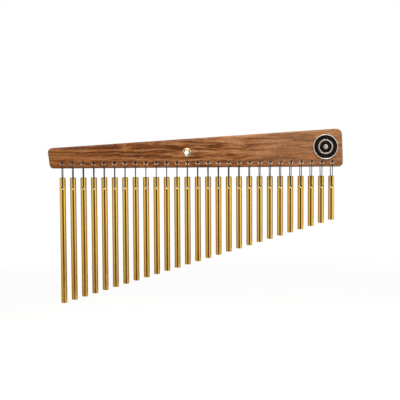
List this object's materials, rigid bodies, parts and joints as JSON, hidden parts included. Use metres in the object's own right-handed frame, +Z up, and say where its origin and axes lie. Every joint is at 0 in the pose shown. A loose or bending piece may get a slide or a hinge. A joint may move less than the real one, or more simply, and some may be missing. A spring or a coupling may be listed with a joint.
{
  "type": "bar chimes",
  "caption": "Bar chimes: solid metal rods of falling length hang on cord loops from a tapered hardwood mantle with a lined stand hole.",
  "frame": {"origin": "centre of the stand hole, on its axis, in the middle of the mantle's thickness", "axes": "+X along the mantle towards its tall end and the shortest rod, +Y from the front, which carries the badge, to the back, +Z up"},
  "size_m": [0.4937, 0.0259, 0.2905],
  "materials": {
    "mantle_wood": "oiled reddish-brown hardwood with long wavy grain, satin",
    "eyelet_brass": "bright pressed brass",
    "badge_metal": "cast pewter-coloured metal, soft sheen",
    "badge_enamel": "glossy black enamel",
    "chime_gold": "polished gold-anodised aluminium",
    "cord_braid": "dark braided nylon cord"
  },
  "bodies": {
    "root": {"mantle": "mantle_wood", "stand_eyelet": "eyelet_brass", "eyelet_washer": "eyelet_brass", "badge_rim": "badge_metal", "badge_face": "badge_enamel"},
    "loop_01": {"cord_01": "cord_braid"},
    "rod_01": {"chime_01": "chime_gold"},
    "loop_02": {"cord_02": "cord_braid"},
    "rod_02": {"chime_02": "chime_gold"},
    "loop_03": {"cord_03": "cord_braid"},
    "rod_03": {"chime_03": "chime_gold"},
    "loop_04": {"cord_04": "cord_braid"},
    "rod_04": {"chime_04": "chime_gold"},
    "loop_05": {"cord_05": "cord_braid"},
    "rod_05": {"chime_05": "chime_gold"},
    "loop_06": {"cord_06": "cord_braid"},
    "rod_06": {"chime_06": "chime_gold"},
    "loop_07": {"cord_07": "cord_braid"},
    "rod_07": {"chime_07": "chime_gold"},
    "loop_08": {"cord_08": "cord_braid"},
    "rod_08": {"chime_08": "chime_gold"},
    "loop_09": {"cord_09": "cord_braid"},
    "rod_09": {"chime_09": "chime_gold"},
    "loop_10": {"cord_10": "cord_braid"},
    "rod_10": {"chime_10": "chime_gold"},
    "loop_11": {"cord_11": "cord_braid"},
    "rod_11": {"chime_11": "chime_gold"},
    "loop_12": {"cord_12": "cord_braid"},
    "rod_12": {"chime_12": "chime_gold"},
    "loop_13": {"cord_13": "cord_braid"},
    "rod_13": {"chime_13": "chime_gold"},
    "loop_14": {"cord_14": "cord_braid"},
    "rod_14": {"chime_14": "chime_gold"},
    "loop_15": {"cord_15": "cord_braid"},
    "rod_15": {"chime_15": "chime_gold"},
    "loop_16": {"cord_16": "cord_braid"},
    "rod_16": {"chime_16": "chime_gold"},
    "loop_17": {"cord_17": "cord_braid"},
    "rod_17": {"chime_17": "chime_gold"},
    "loop_18": {"cord_18": "cord_braid"},
    "rod_18": {"chime_18": "chime_gold"},
    "loop_19": {"cord_19": "cord_braid"},
    "rod_19": {"chime_19": "chime_gold"},
    "loop_20": {"cord_20": "cord_braid"},
    "rod_20": {"chime_20": "chime_gold"},
    "loop_21": {"cord_21": "cord_braid"},
    "rod_21": {"chime_21": "chime_gold"},
    "loop_22": {"cord_22": "cord_braid"},
    "rod_22": {"chime_22": "chime_gold"},
    "loop_23": {"cord_23": "cord_braid"},
    "rod_23": {"chime_23": "chime_gold"},
    "loop_24": {"cord_24": "cord_braid"},
    "rod_24": {"chime_24": "chime_gold"},
    "loop_25": {"cord_25": "cord_braid"},
    "rod_25": {"chime_25": "chime_gold"},
    "loop_26": {"cord_26": "cord_braid"},
    "rod_26": {"chime_26": "chime_gold"},
    "loop_27": {"cord_27": "cord_braid"},
    "rod_27": {"chime_27": "chime_gold"}
  },
  "joints": [
    {"name": "swing_01", "type": "hinge", "parent": "root", "child": "loop_01", "pos_m": [-0.2078, 0, -0.0175], "axis": [0, -1, 0], "range_deg": [-45, 1.74]},
    {"name": "rock_01", "type": "hinge", "parent": "loop_01", "child": "rod_01", "pos_m": [-0.2078, 0, -0.05785], "axis": [1, 0, 0], "range_deg": [-8, 8]},
    {"name": "swing_02", "type": "hinge", "parent": "root", "child": "loop_02", "pos_m": [-0.1904, 0, -0.0175], "axis": [0, -1, 0], "range_deg": [-1.74, 1.79]},
    {"name": "rock_02", "type": "hinge", "parent": "loop_02", "child": "rod_02", "pos_m": [-0.1904, 0, -0.05785], "axis": [1, 0, 0], "range_deg": [-8, 8]},
    {"name": "swing_03", "type": "hinge", "parent": "root", "child": "loop_03", "pos_m": [-0.173, 0, -0.0175], "axis": [0, -1, 0], "range_deg": [-1.79, 1.83]},
    {"name": "rock_03", "type": "hinge", "parent": "loop_03", "child": "rod_03", "pos_m": [-0.173, 0, -0.05785], "axis": [1, 0, 0], "range_deg": [-8, 8]},
    {"name": "swing_04", "type": "hinge", "parent": "root", "child": "loop_04", "pos_m": [-0.1556, 0, -0.0175], "axis": [0, -1, 0], "range_deg": [-1.83, 1.87]},
    {"name": "rock_04", "type": "hinge", "parent": "loop_04", "child": "rod_04", "pos_m": [-0.1556, 0, -0.05785], "axis": [1, 0, 0], "range_deg": [-8, 8]},
    {"name": "swing_05", "type": "hinge", "parent": "root", "child": "loop_05", "pos_m": [-0.1382, 0, -0.0175], "axis": [0, -1, 0], "range_deg": [-1.87, 1.92]},
    {"name": "rock_05", "type": "hinge", "parent": "loop_05", "child": "rod_05", "pos_m": [-0.1382, 0, -0.05785], "axis": [1, 0, 0], "range_deg": [-8, 8]},
    {"name": "swing_06", "type": "hinge", "parent": "root", "child": "loop_06", "pos_m": [-0.1208, 0, -0.0175], "axis": [0, -1, 0], "range_deg": [-1.92, 1.97]},
    {"name": "rock_06", "type": "hinge", "parent": "loop_06", "child": "rod_06", "pos_m": [-0.1208, 0, -0.05785], "axis": [1, 0, 0], "range_deg": [-8, 8]},
    {"name": "swing_07", "type": "hinge", "parent": "root", "child": "loop_07", "pos_m": [-0.1034, 0, -0.0175], "axis": [0, -1, 0], "range_deg": [-1.97, 2.02]},
    {"name": "rock_07", "type": "hinge", "parent": "loop_07", "child": "rod_07", "pos_m": [-0.1034, 0, -0.05785], "axis": [1, 0, 0], "range_deg": [-8, 8]},
    {"name": "swing_08", "type": "hinge", "parent": "root", "child": "loop_08", "pos_m": [-0.086, 0, -0.0175], "axis": [0, -1, 0], "range_deg": [-2.02, 2.08]},
    {"name": "rock_08", "type": "hinge", "parent": "loop_08", "child": "rod_08", "pos_m": [-0.086, 0, -0.05785], "axis": [1, 0, 0], "range_deg": [-8, 8]},
    {"name": "swing_09", "type": "hinge", "parent": "root", "child": "loop_09", "pos_m": [-0.0686, 0, -0.0175], "axis": [0, -1, 0], "range_deg": [-2.08, 2.14]},
    {"name": "rock_09", "type": "hinge", "parent": "loop_09", "child": "rod_09", "pos_m": [-0.0686, 0, -0.05785], "axis": [1, 0, 0], "range_deg": [-8, 8]},
    {"name": "swing_10", "type": "hinge", "parent": "root", "child": "loop_10", "pos_m": [-0.0512, 0, -0.0175], "axis": [0, -1, 0], "range_deg": [-2.14, 2.2]},
    {"name": "rock_10", "type": "hinge", "parent": "loop_10", "child": "rod_10", "pos_m": [-0.0512, 0, -0.05785], "axis": [1, 0, 0], "range_deg": [-8, 8]},
    {"name": "swing_11", "type": "hinge", "parent": "root", "child": "loop_11", "pos_m": [-0.0338, 0, -0.0175], "axis": [0, -1, 0], "range_deg": [-2.2, 2.26]},
    {"name": "rock_11", "type": "hinge", "parent": "loop_11", "child": "rod_11", "pos_m": [-0.0338, 0, -0.05785], "axis": [1, 0, 0], "range_deg": [-8, 8]},
    {"name": "swing_12", "type": "hinge", "parent": "root", "child": "loop_12", "pos_m": [-0.0164, 0, -0.0175], "axis": [0, -1, 0], "range_deg": [-2.26, 2.33]},
    {"name": "rock_12", "type": "hinge", "parent": "loop_12", "child": "rod_12", "pos_m": [-0.0164, 0, -0.05785], "axis": [1, 0, 0], "range_deg": [-8, 8]},
    {"name": "swing_13", "type": "hinge", "parent": "root", "child": "loop_13", "pos_m": [0.001, 0, -0.0175], "axis": [0, -1, 0], "range_deg": [-2.33, 2.41]},
    {"name": "rock_13", "type": "hinge", "parent": "loop_13", "child": "rod_13", "pos_m": [0.001, 0, -0.05785], "axis": [1, 0, 0], "range_deg": [-8, 8]},
    {"name": "swing_14", "type": "hinge", "parent": "root", "child": "loop_14", "pos_m": [0.0184, 0, -0.0175], "axis": [0, -1, 0], "range_deg": [-2.41, 2.49]},
    {"name": "rock_14", "type": "hinge", "parent": "loop_14", "child": "rod_14", "pos_m": [0.0184, 0, -0.05785], "axis": [1, 0, 0], "range_deg": [-8, 8]},
    {"name": "swing_15", "type": "hinge", "parent": "root", "child": "loop_15", "pos_m": [0.0358, 0, -0.0175], "axis": [0, -1, 0], "range_deg": [-2.49, 2.57]},
    {"name": "rock_15", "type": "hinge", "parent": "loop_15", "child": "rod_15", "pos_m": [0.0358, 0, -0.05785], "axis": [1, 0, 0], "range_deg": [-8, 8]},
    {"name": "swing_16", "type": "hinge", "parent": "root", "child": "loop_16", "pos_m": [0.0532, 0, -0.0175], "axis": [0, -1, 0], "range_deg": [-2.57, 2.66]},
    {"name": "rock_16", "type": "hinge", "parent": "loop_16", "child": "rod_16", "pos_m": [0.0532, 0, -0.05785], "axis": [1, 0, 0], "range_deg": [-8, 8]},
    {"name": "swing_17", "type": "hinge", "parent": "root", "child": "loop_17", "pos_m": [0.0706, 0, -0.0175], "axis": [0, -1, 0], "range_deg": [-2.66, 2.76]},
    {"name": "rock_17", "type": "hinge", "parent": "loop_17", "child": "rod_17", "pos_m": [0.0706, 0, -0.05785], "axis": [1, 0, 0], "range_deg": [-8, 8]},
    {"name": "swing_18", "type": "hinge", "parent": "root", "child": "loop_18", "pos_m": [0.088, 0, -0.0175], "axis": [0, -1, 0], "range_deg": [-2.76, 2.86]},
    {"name": "rock_18", "type": "hinge", "parent": "loop_18", "child": "rod_18", "pos_m": [0.088, 0, -0.05785], "axis": [1, 0, 0], "range_deg": [-8, 8]},
    {"name": "swing_19", "type": "hinge", "parent": "root", "child": "loop_19", "pos_m": [0.1054, 0, -0.0175], "axis": [0, -1, 0], "range_deg": [-2.86, 2.97]},
    {"name": "rock_19", "type": "hinge", "parent": "loop_19", "child": "rod_19", "pos_m": [0.1054, 0, -0.05785], "axis": [1, 0, 0], "range_deg": [-8, 8]},
    {"name": "swing_20", "type": "hinge", "parent": "root", "child": "loop_20", "pos_m": [0.1228, 0, -0.0175], "axis": [0, -1, 0], "range_deg": [-2.97, 3.09]},
    {"name": "rock_20", "type": "hinge", "parent": "loop_20", "child": "rod_20", "pos_m": [0.1228, 0, -0.05785], "axis": [1, 0, 0], "range_deg": [-8, 8]},
    {"name": "swing_21", "type": "hinge", "parent": "root", "child": "loop_21", "pos_m": [0.1402, 0, -0.0175], "axis": [0, -1, 0], "range_deg": [-3.09, 3.22]},
    {"name": "rock_21", "type": "hinge", "parent": "loop_21", "child": "rod_21", "pos_m": [0.1402, 0, -0.05785], "axis": [1, 0, 0], "range_deg": [-8, 8]},
    {"name": "swing_22", "type": "hinge", "parent": "root", "child": "loop_22", "pos_m": [0.1576, 0, -0.0175], "axis": [0, -1, 0], "range_deg": [-3.22, 3.37]},
    {"name": "rock_22", "type": "hinge", "parent": "loop_22", "child": "rod_22", "pos_m": [0.1576, 0, -0.05785], "axis": [1, 0, 0], "range_deg": [-8, 8]},
    {"name": "swing_23", "type": "hinge", "parent": "root", "child": "loop_23", "pos_m": [0.175, 0, -0.0175], "axis": [0, -1, 0], "range_deg": [-3.37, 3.52]},
    {"name": "rock_23", "type": "hinge", "parent": "loop_23", "child": "rod_23", "pos_m": [0.175, 0, -0.05785], "axis": [1, 0, 0], "range_deg": [-8, 8]},
    {"name": "swing_24", "type": "hinge", "parent": "root", "child": "loop_24", "pos_m": [0.1924, 0, -0.0175], "axis": [0, -1, 0], "range_deg": [-3.52, 3.69]},
    {"name": "rock_24", "type": "hinge", "parent": "loop_24", "child": "rod_24", "pos_m": [0.1924, 0, -0.05785], "axis": [1, 0, 0], "range_deg": [-8, 8]},
    {"name": "swing_25", "type": "hinge", "parent": "root", "child": "loop_25", "pos_m": [0.2098, 0, -0.0175], "axis": [0, -1, 0], "range_deg": [-3.69, 3.88]},
    {"name": "rock_25", "type": "hinge", "parent": "loop_25", "child": "rod_25", "pos_m": [0.2098, 0, -0.05785], "axis": [1, 0, 0], "range_deg": [-8, 8]},
    {"name": "swing_26", "type": "hinge", "parent": "root", "child": "loop_26", "pos_m": [0.2272, 0, -0.0175], "axis": [0, -1, 0], "range_deg": [-3.88, 4.09]},
    {"name": "rock_26", "type": "hinge", "parent": "loop_26", "child": "rod_26", "pos_m": [0.2272, 0, -0.05785], "axis": [1, 0, 0], "range_deg": [-8, 8]},
    {"name": "swing_27", "type": "hinge", "parent": "root", "child": "loop_27", "pos_m": [0.2446, 0, -0.0175], "axis": [0, -1, 0], "range_deg": [-4.09, 45]},
    {"name": "rock_27", "type": "hinge", "parent": "loop_27", "child": "rod_27", "pos_m": [0.2446, 0, -0.05785], "axis": [1, 0, 0], "range_deg": [-8, 8]}
  ]
}
